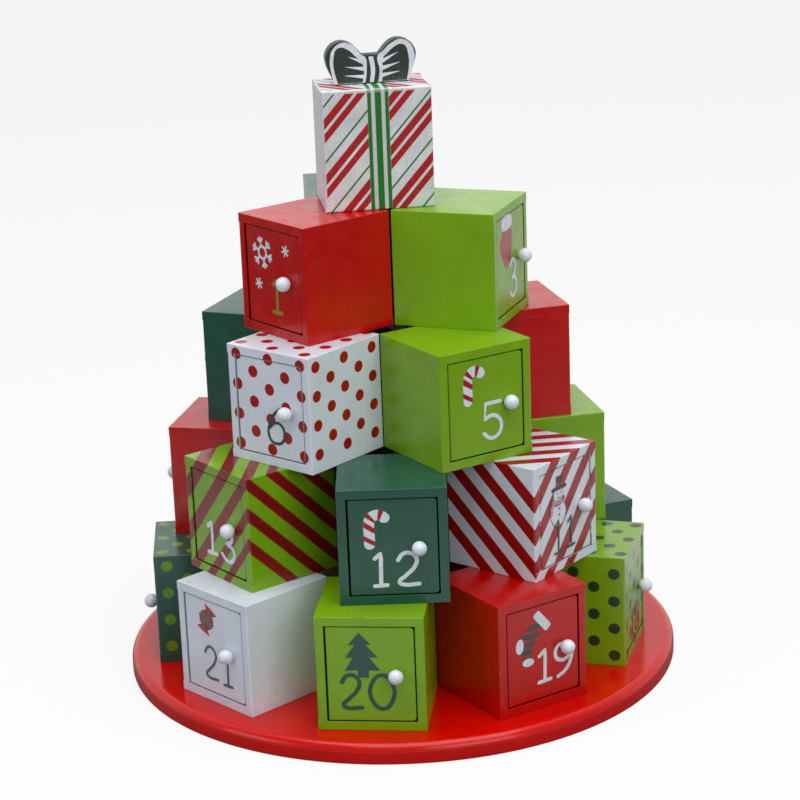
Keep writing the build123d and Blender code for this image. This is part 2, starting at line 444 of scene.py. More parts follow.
def spun(profile, steps):  # a turned piece from (radius, height) points
    bm = bmesh.new()
    verts = [bm.verts.new((radius, 0, height)) for radius, height in profile]
    edges = [bm.edges.new(pair) for pair in zip(verts, verts[1:])]
    bmesh.ops.spin(bm, geom=verts + edges, cent=(0, 0, 0), axis=(0, 0, 1), dvec=(0, 0, 0),
                   angle=2 * math.pi, steps=steps, use_merge=True, use_duplicate=False)
    bmesh.ops.remove_doubles(bm, verts=bm.verts, dist=1e-4)
    bmesh.ops.recalc_face_normals(bm, faces=bm.faces)
    return bm


def finishPiece(bm, name, body, place, materials, replaced, sharpAngle=40):
    bmesh.ops.transform(bm, matrix=place, verts=bm.verts)
    mesh = bpy.data.meshes.new(name)
    bm.to_mesh(mesh)
    bm.free()
    for material in materials:
        mesh.materials.append(material)
    mesh.polygons.foreach_set("use_smooth", [True] * len(mesh.polygons))
    mesh.set_sharp_from_angle(angle=math.radians(sharpAngle))
    piece = bpy.data.objects.new(name, mesh)
    bpy.context.scene.collection.objects.link(piece)
    weighted = piece.modifiers.new("flatFaces", "WEIGHTED_NORMAL")
    weighted.keep_sharp = True
    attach(piece, body)
    if replaced:
        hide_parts(replaced)


# Door boxes: five boards, local frame at the middle of the front bottom edge, y inwards
doorBox = dict(
    width=58.0, depth=58.0, height=64.0, board=5.0, back=4.0,
    softEdge=1.1, rearEdge=0.2, glueJoint=0.09, mouthEdge=0.35,
    pluggedRadius=1.25, pluggedRise=0.16, pluggedReach=1.3, pluggedFace=1.0,
)
ringTurns = (  # boxes from left to right as seen from the front, and the way the first one faces
    ((1, 3, 2), -51.4),
    ((7, 6, 5, 4, 8), -112.4),
    ((15, 14, 13, 12, 11, 10, 9), -155.0),
    ((24, 23, 22, 21, 20, 19, 18, 17, 16), -166.9),
)
turnOf = {
    number: math.radians(first + index * 360 / len(ring))
    for ring, first in ringTurns for index, number in enumerate(ring)
}
door = dict(
    thickness=4.0, recess=0.4, hingeGap=0.8, latchGap=0.7, endGap=0.6,
    hingeRoundFront=0.9, hingeRoundBack=1.9, corner=2.0, arris=0.3,
)
hingeX = -doorBox["width"] / 2 + doorBox["board"] + door["hingeGap"] + door["thickness"] / 2
hingeY = door["recess"] + door["thickness"] / 2
freeX = doorBox["width"] / 2 - doorBox["board"] - door["latchGap"]


def boxPlace(number):
    low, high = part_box(f"box_{number:02d}")
    middle = (low + high) / 2
    turn = Matrix.Rotation(turnOf[number], 4, "Z")
    front = turn @ Vector((0, -doorBox["depth"] * mm / 2, 0))
    origin = Vector((middle.x + front.x, middle.y + front.y, low.z))
    return Matrix.Translation(origin) @ turn @ Matrix.Scale(mm, 4)


def boxBoards():
    half, depth, height = doorBox["width"] / 2, doorBox["depth"], doorBox["height"]
    board, soft, joint = doorBox["board"], doorBox["softEdge"], doorBox["glueJoint"]

    def onCorner(p):
        return abs(p.x) > half - 0.1 and p.y < 0.1

    def onRearCorner(p):
        return abs(p.x) > half - 0.1 and p.y > depth - 0.1

    shapes = []
    for low, outer in ((height - board, height), (0, 0)):
        bm = boxShape((-half, 0, low), (half, depth, low + board))
        bevelEdges(bm, edgesWhere(bm, onRearCorner), doorBox["rearEdge"], 1)
        bevelEdges(bm, edgesWhere(bm, lambda p: abs(p.z - outer) < 0.1 or onCorner(p)), soft, 3)
        bevelEdges(bm, sharpEdges(bm), joint, 1)
        shapes.append(bm)
    for side in (-1, 1):
        near, far = sorted((side * half, side * (half - board)))
        bm = boxShape((near, 0, board), (far, depth, height - board))
        bevelEdges(bm, edgesWhere(bm, onRearCorner), doorBox["rearEdge"], 1)
        bevelEdges(bm, edgesWhere(bm, onCorner), soft, 3)
        inner = half - board + 0.1
        mouth = edgesWhere(bm, lambda p: p.y < 0.1 and abs(p.x) < inner and abs(p.z - height / 2) < 1)
        bevelEdges(bm, mouth, doorBox["mouthEdge"], 2)
        bevelEdges(bm, sharpEdges(bm), joint, 1)
        shapes.append(bm)
    inner = half - board
    low, high = (-inner, depth - doorBox["back"], board), (inner, depth, height - board)
    shapes.append(boardShape(low, high, joint))
    for level in (0, height):  # filled and painted heads of the hinge brads
        plug = bmesh.new()
        bmesh.ops.create_uvsphere(plug, u_segments=20, v_segments=10, radius=doorBox["pluggedRadius"])
        flat = doorBox["pluggedRise"] / doorBox["pluggedRadius"]
        bmesh.ops.scale(plug, vec=(1, 1, flat), verts=plug.verts)
        bmesh.ops.translate(plug, vec=(hingeX, hingeY, level), verts=plug.verts)
        shapes.append(plug)
    return joined(shapes)


def isInside(middle):  # faces that look into the compartment
    reach = doorBox["width"] / 2 - doorBox["board"] + 0.01
    low, high = doorBox["board"] - 0.01, doorBox["height"] - doorBox["board"] + 0.01
    return abs(middle.x) < reach and low < middle.z < high and middle.y < doorBox["depth"] - 1


def markFaces(bm, top=(0, 0), sideScale=1.0, sideRise=1.0, topScale=1.0, panel=(1.0, 1.0)):
    printed = bm.loops.layers.uv.new("printed")
    deep = bm.loops.layers.float.new("insideDepth")
    worn = bm.faces.layers.float.new("edgeWear")
    gapShadeLayer = bm.faces.layers.float.new("gapShade")
    plugged = bm.faces.layers.float.new("plugged")
    side = bm.faces.layers.float.new("onSide")
    shift = bm.faces.layers.float_vector.new("printShift")
    half, height = doorBox["width"] / 2, doorBox["height"]
    doorTop = height - doorBox["board"]
    for face in bm.faces:
        middle, normal = face.calc_center_median(), face.normal
        inside = isInside(middle)
        axis = max(range(3), key=lambda i: abs(normal[i]))
        fromHinge = max(abs(middle.x - hingeX), abs(middle.y - hingeY))
        small = face.calc_area() < doorBox["pluggedFace"]
        face[plugged] = float(small and fromHinge < doorBox["pluggedReach"])
        face[side] = float(axis == 0)
        face[gapShadeLayer] = float(inside and abs(normal.y) < 0.3)  # boards around the door, not its panel: painted shade in the gap
        face[worn] = float(max(abs(c) for c in normal) < 0.985)  # rounded edges
        face[shift] = (*top, 0) if axis == 2 else (0, 0, 0)
        for loop in face.loops:
            p = loop.vert.co
            loop[deep] = max(0.0, p.y) if inside else 0.0
            if axis == 0:  # the print on the sides mirrors the front's at its edges
                away = half - sideScale * p.y
                level = height / 2 + sideRise * (p.z - height / 2)
                loop[printed].uv = (away if normal.x > 0 else -away, level)
            elif axis == 1:
                loop[printed].uv = (p.x * panel[0], doorTop - panel[1] * (doorTop - p.z))
            else:
                loop[printed].uv = (p.x, height - topScale * p.y)
    return bm


def doorPanel():
    low = Vector((hingeX - door["thickness"] / 2, door["recess"], doorBox["board"] + door["endGap"]))
    high = Vector((freeX, door["recess"] + door["thickness"], doorBox["height"] - low.z))
    bm = boxShape(low, high)
    for level, radius in ((low.y, door["hingeRoundFront"]), (high.y, door["hingeRoundBack"])):
        hingeSide = edgesWhere(bm, lambda p: p.x < low.x + 0.1 and abs(p.y - level) < 0.1)
        bevelEdges(bm, hingeSide, radius, 6)
    corners = edgesWhere(bm, lambda p: p.x > high.x - 0.1 and (p.z < low.z + 0.1 or p.z > high.z - 0.1))
    bevelEdges(bm, corners, door["corner"], 6)
    bevelEdges(bm, sharpEdges(bm), door["arris"], 2)
    return bm


# Ball knobs, turned and glued to the doors
knob = dict(radius=4.0, centreOut=3.8, inset=9.7, seatLatitude=-66, steps=36, rings=14)


def knobShape():
    start = knob["seatLatitude"]
    latitudes = [math.radians(start + (90 - start) * i / knob["rings"]) for i in range(knob["rings"])]
    radius, out = knob["radius"], knob["centreOut"]
    ball = [(radius * math.cos(a), out + radius * math.sin(a)) for a in latitudes]
    bm = spun([(0, 0), (ball[0][0], 0), *ball, (0, out + radius)], knob["steps"])
    place = Matrix.Translation((freeX - knob["inset"], door["recess"], doorBox["height"] / 2))
    bmesh.ops.transform(bm, matrix=place @ Matrix.Rotation(math.pi / 2, 4, "X"), verts=bm.verts)
    return bm


knobFinish = dict(
    tones=(srgb(222, 228, 238), srgb(234, 239, 248)), drift=(220, 3), spread=(0.35, 0.65),
    sheen=(500, 2, 0.2, 0.3), bump=(900, 2, 0.1, 0.1),
)


# Hinge brads: round wire, two to a door
hingeBrad = dict(radius=0.6, reach=7.0, setBelow=0.3, tip=1.2, steps=16)


def bradPins():
    length = doorBox["board"] - hingeBrad["setBelow"] + door["endGap"] + hingeBrad["reach"]
    r = hingeBrad["radius"]
    profile = [(0, 0), (r * 1.15, 0), (r * 1.15, 0.5), (r, 0.7), (r, length - hingeBrad["tip"]), (0, length)]
    shapes = []
    for count in numbers:
        sunk = hingeBrad["setBelow"]
        for level, flip in ((sunk, 0), (doorBox["height"] - sunk, math.pi)):
            pin = spun(profile, hingeBrad["steps"])
            local = Matrix.Translation((hingeX, hingeY, level)) @ Matrix.Rotation(flip, 4, "X")
            bmesh.ops.transform(pin, matrix=boxPlace(count) @ local, verts=pin.verts)
            shapes.append(pin)
    return joined(shapes)


bradFinish = dict(
    tones=(srgb(150, 147, 142), srgb(182, 180, 175)), drift=(600, 3), spread=(0, 1),
    sheen=(1500, 2, 0.28, 0.45), metal=1.0,
)


# Base: a turned disc with a rounded rim
baseDisc = dict(topRound=5.0, footRound=1.5, steps=160, roundSteps=8)


def baseShape():
    low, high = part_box("base")
    radius, thick = (high.x - low.x) / 2 / mm, (high.z - low.z) / mm
    steps = [math.pi / 2 * i / baseDisc["roundSteps"] for i in range(baseDisc["roundSteps"] + 1)]
    foot, top = baseDisc["footRound"], baseDisc["topRound"]
    profile = [(0, 0)]
    profile += [(radius - foot + foot * math.sin(a), foot - foot * math.cos(a)) for a in steps]
    profile += [(radius - top + top * math.cos(a), thick - top + top * math.sin(a)) for a in steps]
    profile += [(radius * share, thick) for share in (0.75, 0.5, 0.25, 0)]
    return spun(profile, baseDisc["steps"])


# Gift box: six boards, stripes on the front and top under a printed ribbon
giftBox = dict(
    width=59.3, depth=42.0, height=65.6, board=5.0, twist=7.3, softEdge=1.2, glueJoint=0.08,
    slope=1.13, period=29.7, greenAt=57.5, edgeX=-29.0,
    bands=((0.0, 1.4, "green"), (7.3, 5.7, "red"), (15.2, 5.1, "red")),  # below each green line, upright
    ribbonMiddle=0.8, ribbon=((-5.75, -3.75), (-1.7, 1.7), (3.7, 5.7)),
    seamAt=28.8, seamRise=3.4,  # the print right of the ribbon sits higher below this stripe
    edgeWearAndHighlight=(2.1, 1.4), trimmedEdge=(0.7, 1.4),  # where the print thins out at the top and left edges; at the top this is partly rubbed print and partly a painted highlight on the rounded edge
    white=(srgb(206, 207, 212), srgb(228, 229, 233)),
    inks=dict(red=srgb(174, 4, 14), green=srgb(8, 113, 17)),
    ribbonWearAndHighlight=0.5,  # ribbon ink on the top edge: partly rubbed off, partly painted paler as a painted highlight
    drift=(70, 4), sheen=(0.42, 0.54), shine=0.4, bump=(1100, 3, 0.2, 0.14),
    speckle=(760, 4, 0.6), speckleFrom=(0.5, 0.7), speckleShare=0.22, speckleTone=srgb(120, 116, 112),
)


def giftPlace():
    low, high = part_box("gift_top")
    middle = (low + high) / 2
    origin = Vector((middle.x, middle.y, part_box("gift_bottom")[0].z))
    turn = math.radians(giftBox["twist"])
    return Matrix.Translation(origin) @ Matrix.Rotation(turn, 4, "Z") @ Matrix.Scale(mm, 4)


def giftBoards():
    half, deep, high = giftBox["width"] / 2, giftBox["depth"] / 2, giftBox["height"]
    board = giftBox["board"]
    rib = deep - board

    def giftBoard(low, high, isRounded=None):
        return boardShape(low, high, giftBox["glueJoint"], giftBox["softEdge"], isRounded)

    def atSide(p):
        return abs(p.x) > half - 0.1

    return dict(
        gift_front=giftBoard((-half, -deep, 0), (half, board - deep, high), lambda p: p.y < 0.1 - deep),
        gift_back=giftBoard((-half, deep - board, 0), (half, deep, high), lambda p: p.y > deep - 0.1),
        gift_top=giftBoard((-half, -rib, high - board), (half, rib, high),
                           lambda p: atSide(p) and p.z > high - 0.1),
        gift_bottom=giftBoard((-half, -rib, 0), (half, rib, board), lambda p: atSide(p) and p.z < 0.1),
        gift_left=giftBoard((-half, -rib, board), (board - half, rib, high - board)),
        gift_right=giftBoard((half - board, -rib, board), (half, rib, high - board)),
    )


def markGift(bm):
    printed = bm.loops.layers.uv.new("printed")
    inked = bm.faces.layers.float.new("inked")
    half, deep, high = giftBox["width"] / 2, giftBox["depth"] / 2, giftBox["height"]
    for face in bm.faces:
        normal, middle = face.normal, face.calc_center_median()
        axis = max(range(3), key=lambda i: abs(normal[i]))
        onTop = axis == 2 and normal.z > 0
        onFront = middle.y < giftBox["board"] - deep + 0.1 and normal.y < -0.5
        face[inked] = float(onTop or onFront)
        for loop in face.loops:
            p = loop.vert.co
            back = p.y + deep  # the print folds back over the front's edges
            if axis == 0:
                loop[printed].uv = (math.copysign(half - back, p.x), p.z)
            elif onTop:
                loop[printed].uv = (p.x, high - back)
            else:
                loop[printed].uv = (p.x, p.z)
    return bm


def giftPaint():
    material, tree, shader = startMaterial("giftPrintedWhite")
    coords = objectCoords(tree)
    uv = printedCoords(tree)
    inked = attribute(tree, "inked")
    across, rise = axes(tree, uv)[:2]
    # the top edge strip loses its stripes and pales the ribbon: partly rubbed print, partly a painted
    # highlight on the rounded edge
    rubbed = ramp(tree, rise, *[giftBox["height"] - x for x in giftBox["edgeWearAndHighlight"]])
    trimmed = ramp(tree, across, *[x - giftBox["width"] / 2 for x in giftBox["trimmedEdge"]])
    striped = times(tree, trimmed, ramp(tree, rubbed, 0, 1, inked, 0.0))
    ribboned = times(tree, inked, ramp(tree, rubbed, 0, 1, 1.0, giftBox["ribbonWearAndHighlight"]))
    drift = clouds(tree, coords, *giftBox["drift"])
    shade = mixColour(tree, drift, *giftBox["white"])
    along = vector2(tree, "DOT_PRODUCT", uv, (-giftBox["slope"], 1, 0))
    onRight = math2(tree, "GREATER_THAN", across, 0.0)
    underSeam = math2(tree, "LESS_THAN", along, giftBox["seamAt"])
    along = math2(tree, "SUBTRACT", along, times(tree, onRight, underSeam, giftBox["seamRise"]))
    top = giftBox["greenAt"] - giftBox["slope"] * giftBox["edgeX"]
    for below, width, ink in giftBox["bands"]:
        offset = math2(tree, "SUBTRACT", along, top - below - width / 2)
        stripe = band(tree, wrapped(tree, offset, giftBox["period"]), width / 2)
        shade = mixColour(tree, times(tree, stripe, striped), shade, giftBox["inks"][ink])
    across = math2(tree, "SUBTRACT", across, giftBox["ribbonMiddle"])
    reach = max(abs(x) for pair in giftBox["ribbon"] for x in pair)
    cover = times(tree, band(tree, math2(tree, "ABSOLUTE", across), reach), inked)
    shade = mixColour(tree, cover, shade, giftBox["white"][0])
    for low, high in giftBox["ribbon"]:
        distance = math2(tree, "ABSOLUTE", math2(tree, "SUBTRACT", across, (low + high) / 2))
        stripe = times(tree, band(tree, distance, (high - low) / 2), ribboned)
        shade = mixColour(tree, stripe, shade, giftBox["inks"]["green"])
    speckle = ramp(tree, noise(tree, coords, *giftBox["speckle"]), *giftBox["speckleFrom"])
    speckle = times(tree, speckle, giftBox["speckleShare"])
    tree.links.new(mixColour(tree, speckle, shade, giftBox["speckleTone"]), shader.inputs["Base Color"])
    tree.links.new(ramp(tree, drift, 0, 1, *giftBox["sheen"]), shader.inputs["Roughness"])
    shader.inputs["Specular IOR Level"].default_value = giftBox["shine"]
    scale, detail, strength, distance = giftBox["bump"]
    addBump(tree, shader, noise(tree, coords, scale, detail), strength, distance)
    return material


# Printing: lines and patches of ink a few hundredths of a millimetre thick, drawn flat
printing = dict(thickness=0.06, step=0.05, curveSteps=7, spotSteps=28)
inks = dict(
    white=srgb(226, 233, 242), red=srgb(166, 16, 20), green=srgb(32, 76, 66), gold=srgb(156, 134, 44),
    grey=srgb(84, 94, 90), black=srgb(34, 40, 40), leaf=srgb(52, 100, 50), bowDark=srgb(52, 60, 57),
    berry=srgb(84, 46, 46), knit=srgb(58, 70, 66),
)
inkOrder = list(inks)


inkFinish = dict(drift=(260, 4), sheen=(700, 2, 0.24, 0.34), bump=(1600, 2, 0.12, 0.06))


def drawnCurve(points, closed, smooth, corners=()):
    curve = bpy.data.curves.new("drawn", "CURVE")
    curve.resolution_u = printing["curveSteps"] if smooth else 1
    spline = curve.splines.new("BEZIER")
    spline.bezier_points.add(len(points) - 1)
    for index, (point, (x, z)) in enumerate(zip(spline.bezier_points, points)):
        point.co = (x, z, 0)
        kind = "AUTO" if smooth and index not in corners else "VECTOR"
        point.handle_left_type = point.handle_right_type = kind
    spline.use_cyclic_u = closed
    return curve


def curveMesh(curve):
    carrier = bpy.data.objects.new("drawn", curve)
    bpy.context.scene.collection.objects.link(carrier)
    mesh = bpy.data.meshes.new_from_object(carrier)
    bm = bmesh.new()
    bm.from_mesh(mesh)
    bpy.data.meshes.remove(mesh)
    bpy.data.objects.remove(carrier)
    bpy.data.curves.remove(curve)
    bmesh.ops.remove_doubles(bm, verts=bm.verts, dist=1e-4)
    bmesh.ops.recalc_face_normals(bm, faces=bm.faces)
    return bm


def line(points, width, ink, layer=0, closed=False, smooth=True, corners=()):
    curve = drawnCurve(points, closed, smooth, corners)
    curve.dimensions = "3D"
    curve.bevel_depth, curve.bevel_resolution, curve.use_fill_caps = width / 2, 2, True
    bm = curveMesh(curve)
    for x, z in () if closed else (points[0], points[-1]):  # round pen ends
        bmesh.ops.create_uvsphere(bm, u_segments=12, v_segments=8, radius=width / 2,
                                  matrix=Matrix.Translation((x, z, 0)))
    bmesh.ops.scale(bm, vec=(1, 1, printing["thickness"] / width), verts=bm.verts)
    return bm, ink, layer


def patch(points, ink, layer=0, smooth=True, corners=()):
    curve = drawnCurve(points, True, smooth, corners)
    curve.dimensions, curve.fill_mode, curve.extrude = "2D", "BOTH", printing["thickness"] / 2
    return curveMesh(curve), ink, layer


def spot(x, z, width, ink, layer=0, height=None, turn=0):
    bm = bmesh.new()
    place = Matrix.Translation((x, z, 0)) @ Matrix.Rotation(math.radians(turn), 4, "Z")
    place = place @ Matrix.Diagonal((width / 2, (height or width) / 2, 1, 1))
    bmesh.ops.create_cone(bm, cap_ends=True, segments=printing["spotSteps"], radius1=1, radius2=1,
                          depth=printing["thickness"], matrix=place)
    return bm, ink, layer


def printShape(elements):  # every element in its layer, facing out of the printed face
    shapes = []
    for bm, ink, layer in elements:
        for face in bm.faces:
            face.material_index = inkOrder.index(ink)
        rise = printing["thickness"] / 2 + layer * printing["step"]
        bmesh.ops.transform(bm, verts=bm.verts,
                            matrix=Matrix.Rotation(math.pi / 2, 4, "X") @ Matrix.Translation((0, 0, rise)))
        shapes.append(bm)
    return joined(shapes)


# Numbers: pen strokes in a cell of unit width and height
penStrokes = {
    "0": [((0.5, 1), (0.08, 0.75), (0.08, 0.25), (0.5, 0), (0.92, 0.25), (0.92, 0.75))],
    "1": [((0.06, 0.84), (0.56, 1), (0.5, 0)), ((0, 0), (1, 0.02))],
    "2": [((0.02, 0.78), (0.25, 0.97), (0.58, 1), (0.9, 0.82), (0.78, 0.54), (0.36, 0.28),
           (0.06, 0.07), (0.2, 0.01), (1, 0.01))],
    "3": [((0.1, 0.88), (0.42, 1), (0.8, 0.92), (0.84, 0.7), (0.4, 0.52), (0.84, 0.45), (0.97, 0.25),
           (0.76, 0.04), (0.36, 0), (0.02, 0.15))],
    "4": [((0.7, 0), (0.72, 1), (0, 0.32), (1, 0.33))],
    "5": [((0.95, 1), (0.14, 1), (0.08, 0.55), (0.46, 0.64), (0.86, 0.52), (0.98, 0.28), (0.78, 0.05),
           (0.38, 0), (0.02, 0.16))],
    "6": [((0.78, 1), (0.4, 0.8), (0.12, 0.5), (0.04, 0.26), (0.22, 0.04), (0.52, 0), (0.84, 0.08),
           (0.97, 0.3), (0.82, 0.53), (0.48, 0.58), (0.13, 0.42))],
    "7": [((0, 0.98), (1, 1), (0.62, 0.5), (0.42, 0))],
    "8": [((0.5, 0.53), (0.16, 0.7), (0.22, 0.93), (0.5, 1), (0.78, 0.93), (0.84, 0.7)),
          ((0.5, 0.53), (0.06, 0.34), (0.12, 0.1), (0.5, 0), (0.88, 0.1), (0.94, 0.34))],
    "9": [((0.92, 0.72), (0.66, 0.52), (0.3, 0.5), (0.04, 0.68), (0.14, 0.94), (0.5, 1), (0.84, 0.92),
           (0.95, 0.72), (0.86, 0.4), (0.58, 0.14), (0.16, 0))],
}
penCorners = {"1": (1,), "4": (1, 2), "5": (1, 2), "7": (1,), "3": (4,)}


def numeral(text, cells, ink, width=2.2, layer=3):
    elements = []
    for digit, (x, z, w, h) in zip(text, cells):
        for stroke in penStrokes[digit]:
            points = [(x + w * u, z + h * v) for u, v in stroke]
            elements.append(line(points, width, ink, layer, closed=digit in "08",
                                 corners=penCorners.get(digit, ())))
    return elements


oneDigit = ((-1, 13, 10, 19),)
twoDigits = ((-9.5, 12, 7.5, 18.5), (2, 12, 10.5, 18.5))


# Motifs, drawn around a middle and then set down on a door
def around(radius, degrees, x=0, z=0):
    return x + radius * math.cos(math.radians(degrees)), z + radius * math.sin(math.radians(degrees))


def at(x, z, elements):
    for bm, ink, layer in elements:
        bmesh.ops.translate(bm, vec=(x, z, 0), verts=bm.verts)
    return elements


def stroke(start, end, width, ink, layer=0):
    return line([start, end], width, ink, layer, smooth=False)


def snowflake(radius=8.6, turn=43, width=1.5):
    elements = [line([around(radius * 0.4, a) for a in range(0, 360, 45)], width, "white", closed=True)]
    for arm in range(turn, turn + 360, 60):
        elements.append(stroke(around(radius * 0.4, arm), around(radius, arm), width, "white"))
        fork = around(radius * 0.7, arm)
        for side in (-48, 48):
            elements.append(stroke(fork, around(radius * 0.3, arm + side, *fork), width, "white"))
    return elements


def littleStar(radius=2.8, width=1.2):
    return [stroke(around(radius, a), around(radius, a + 180), width, "white") for a in (15, 75, 135)]


def fivePointStar(ink="gold", radius=9):
    points = [around(radius if i % 2 == 0 else radius * 0.44, 90 + 36 * i) for i in range(10)]
    return [patch(points, ink, smooth=False)]


def candyCane(length, hook=4.6, width=5.8, sweep=140):  # a straight stick and a hook to the right
    straight = length - width / 2 - hook
    path = [(0, 0), (0, straight / 2)]
    path += [around(hook, 180 - a, hook, straight) for a in range(0, sweep + 1, 35)]
    elements = [line(path, width, "white")]

    def edgePoint(run, side):  # a point on the cane's left or right edge
        if run < straight:
            return side * width / 2, run
        return around(hook - side * width / 2, 180 - math.degrees((run - straight) / hook), hook, straight)

    bend1, bend2 = straight + hook * math.radians(28), straight + hook * math.radians(94)
    stripes = ((2.2, 2.7, -1.1, 2.7), (9.4, 3.0, 5.9, 3.0), (bend1, 1.7, bend1 - 2.2, 3.4),
               (bend2, 1.8, bend2 - 0.6, 3.2))
    for left, leftWide, right, rightWide in stripes:  # each red stripe's start and width at both edges
        leftEdge = [edgePoint(left + leftWide * s, -1) for s in (0, 0.5, 1)]
        rightEdge = [edgePoint(right + rightWide * s, 1) for s in (1, 0.5, 0)]
        elements.append(patch(leftEdge + rightEdge, "red", 1, smooth=False))
    return elements


def mitten():
    hand = [(7.5, 3), (8, -4), (6.5, -11), (3.5, -16), (-0.5, -17.5), (-4.5, -16.5), (-7, -12.5), (-10, -9),
            (-11.5, -5), (-10.8, -1), (-8, 1), (-7, 3.5)]
    cuff = [(-8.5, 4.2), (7.6, 3.8), (8.4, 5), (8.2, 9), (7, 10.2), (-7.8, 10.4), (-8.9, 9), (-9, 5.4)]
    return [patch(hand, "red"), patch(cuff, "white", 1)]


def stocking():
    knitted = (
        ((-3.2, 8), (0, 10.5), (5.6, 11.2), (9, 8.6), (3, 7.3)),
        ((-5.8, 6.4), (1, 6.3), (9.2, 5.6), (5.2, 3), (0, 2.9), (-3.6, 3.8)),
        ((-4.2, 2.1), (0, 2.1), (5, 1.4), (2.6, -1.6), (-4.2, -1.1)),
        ((-7.6, -3.5), (-3, -2.3), (2, -2.7), (2.8, -5.5), (-3, -5.6)),
        ((-5.6, -6.9), (1.4, -6.7), (2.6, -8.4), (-4, -8.8)),
    )
    cuff = [(2.9, 14.8), (3.1, 15.7), (5.9, 17.8), (6.9, 17.7), (14.3, 8.9), (14.3, 7.9), (11.6, 5.5),
            (10.6, 5.6)]
    elements = [patch(outline, "knit", smooth=False) for outline in knitted]
    elements += [spot(-6.2, 0.4, 5.0, "white", 1, 8.6, -6), spot(-0.8, -9.9, 7.6, "white", 1, 4.6, -4)]
    elements.append(patch(cuff, "white", 2, smooth=False))
    return elements


def pineTree():
    right = [(-0.6, 13), (5.8, 6.2), (2.7, 6.4), (9.2, -1), (4.4, -0.8), (10.2, -8.4), (4.1, -8.2),
             (4.1, -12.4)]
    left = [(-1.6, -12.4), (-1.6, -8.2), (-8.6, -8.6), (-4.2, -1.2), (-8.4, -1.2), (-3, 6), (-6.4, 6)]
    balls = ((1, 7.6), (2.5, 3), (-1.3, 1.4), (2, -2.6), (-2.3, -5), (5, -6))
    return [patch(right + left, "green", smooth=False)] + [spot(*ball, 1.4, "berry", 1) for ball in balls]


def wrappedSweet():
    elements = [spot(0, 0, 11.6, "red")]
    for a in (58, 245):
        wing = [around(2, a), around(9.6, a + 36), around(8.2, a), around(9.8, a - 34)]
        elements.append(patch(wing, "red", smooth=False))
    for a in (20, 110, 200, 290):  # swirled stripes
        elements.append(line([around(0.4, a), around(3.0, a + 18), around(5.2, a + 48)], 2.3, "grey", 1))
    return elements


def snowman():
    elements = [spot(0, -4, 14.6, "grey", 0, 15), spot(0, -4, 13.6, "white", 1, 14)]
    elements += [spot(0.2, 6.3, 9.4, "grey", 0, 9), spot(0.2, 6.3, 8.6, "white", 1, 8.2)]
    crown = [(-1.8, 10.6), (4.6, 10.6), (4.4, 16.8), (-1.6, 17)]
    elements.append(patch(crown, "black", 2, smooth=False))
    elements.append(stroke((-5, 10), (6.8, 10.2), 2.2, "black", 2))
    elements.append(stroke((-1.2, 12.2), (4.1, 12.2), 1.5, "red", 3))
    scarf, tail = [(-6, 4.2), (-3.4, 2.3), (0, 1.7), (4.6, 3.4)], [(-5.4, 2.2), (-6.4, -0.6), (-6.6, -2.6)]
    for points, layer in ((scarf, 3), (tail, 2)):
        elements += [line(points, 3.1, "grey", layer), line(points, 2.5, "red", layer + 1)]
    checks = [((u, 1.4), (u + 0.7, 3.8)) for u in (-5.2, -3.6, -2, -0.4, 1.2, 2.8)]  # across the scarf
    checks += [((-7.2, v - 0.4), (-5.2, v + 0.2)) for v in (0.6, -1, -2.6)]  # and its tail
    elements += [stroke(*check, 0.6, "white", 5) for check in checks]
    for u, v, size in ((-1.2, 7.4, 0.9), (2.2, 7.7, 0.9), (1, -1.5, 1.3), (0.9, -5, 1.3)):
        elements.append(spot(u, v, size, "black", 3))
    elements.append(line([(-0.6, 4.9), (0.6, 4.5), (1.8, 5)], 0.5, "black", 3))
    return elements


def bauble(ink="gold"):
    return [
        spot(0, 0, 14, ink),
        patch([(-1.8, 6.6), (1.8, 6.6), (1.6, 9), (-1.6, 9)], "grey", 1, smooth=False),
        line([(-6.4, 1.6), (0, -0.6), (6.4, 1.6)], 1.6, "white", 1),
        line([(-5.6, -3), (0, -5), (5.6, -3)], 1.2, "white", 1),
        line([around(1.5, a, 0, 10.4) for a in range(0, 360, 60)], 0.7, "grey", closed=True),
    ]


def bell(ink="gold"):
    outline = [(0, 9), (3.6, 7.4), (4.8, 1), (7.6, -5), (-7.6, -5), (-4.8, 1), (-3.6, 7.4)]
    return [
        patch(outline, ink, corners=(3, 4)),
        spot(0, -5.6, 3.6, ink),
        line([(-5.4, -1.8), (0, -2.6), (5.4, -1.8)], 1.2, "red", 1),
        spot(-2.6, 9.8, 5, "red", 1, 2.6, -20),
        spot(2.6, 9.8, 5, "red", 1, 2.6, 20),
    ]


def heart():
    outline = [(0, -8), (6.4, -1.5), (7.2, 3.6), (3.8, 6.6), (0, 3.6), (-3.8, 6.6), (-7.2, 3.6),
               (-6.4, -1.5)]
    return [patch(outline, "red", corners=(0, 4))]


def candle():
    stick = [(-2.6, -10), (2.6, -10), (2.6, 4), (-2.6, 4)]
    flame = [(0, 12), (2, 7.6), (0, 5.4), (-2, 7.6)]
    elements = [patch(stick, "white", smooth=False), patch(flame, "gold", corners=(0,))]
    elements += [stroke((-2, v - 0.8), (2, v + 0.8), 1.1, "red", 1) for v in (-7, -3, 1)]
    elements += [spot(-4, -10, 8, "leaf", 1, 3.4, 16), spot(4, -10, 8, "leaf", 1, 3.4, -16)]
    elements.append(spot(0, -10, 2.6, "red", 2))
    return elements


